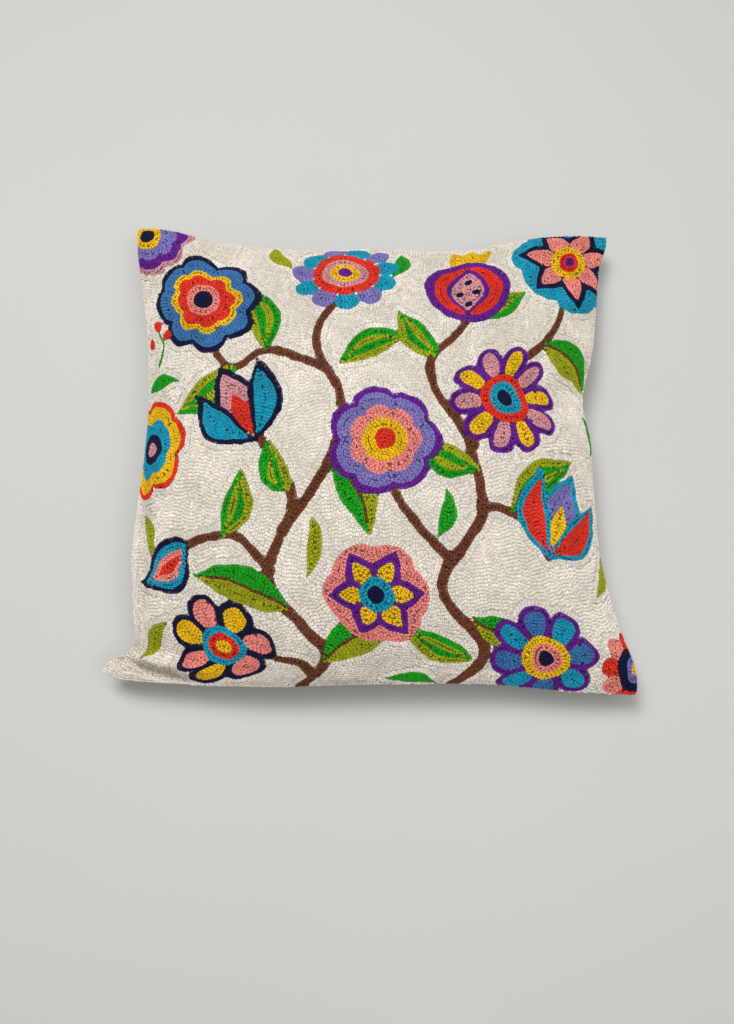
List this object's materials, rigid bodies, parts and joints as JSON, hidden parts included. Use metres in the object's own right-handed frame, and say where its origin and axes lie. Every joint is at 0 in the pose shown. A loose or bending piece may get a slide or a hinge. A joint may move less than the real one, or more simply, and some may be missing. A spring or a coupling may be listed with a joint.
{
  "type": "embroidered cushion cover, filled",
  "caption": "Square filled cushion with sewn knife edges; its front is covered edge to edge in chain stitch, with bright flowers, leaves and brown stems on cream.",
  "frame": {"origin": "on the floor, under the middle of the cushion's box as it lies on its back", "axes": "+Z out of the embroidered face, +Y towards the top edge of the design, X along the design's bottom edge"},
  "size_m": [0.4402, 0.42, 0.118],
  "materials": {
    "cover_cloth": "plain woven cotton, matt",
    "ecru_yarn": "chain-stitched yarn, soft matt",
    "brown_yarn": "chain-stitched yarn, soft matt",
    "leaf_green_yarn": "chain-stitched yarn, soft matt",
    "olive_yarn": "chain-stitched yarn, soft matt",
    "navy_yarn": "chain-stitched yarn, soft matt",
    "red_yarn": "chain-stitched yarn, soft matt",
    "coral_yarn": "chain-stitched yarn, soft matt",
    "pink_yarn": "chain-stitched yarn, soft matt",
    "yellow_yarn": "chain-stitched yarn, soft matt",
    "blue_yarn": "chain-stitched yarn, soft matt",
    "turquoise_yarn": "chain-stitched yarn, soft matt",
    "purple_yarn": "chain-stitched yarn, soft matt",
    "lavender_yarn": "chain-stitched yarn, soft matt"
  },
  "bodies": {
    "root": {"cushion": "cover_cloth"}
  },
  "joints": []
}
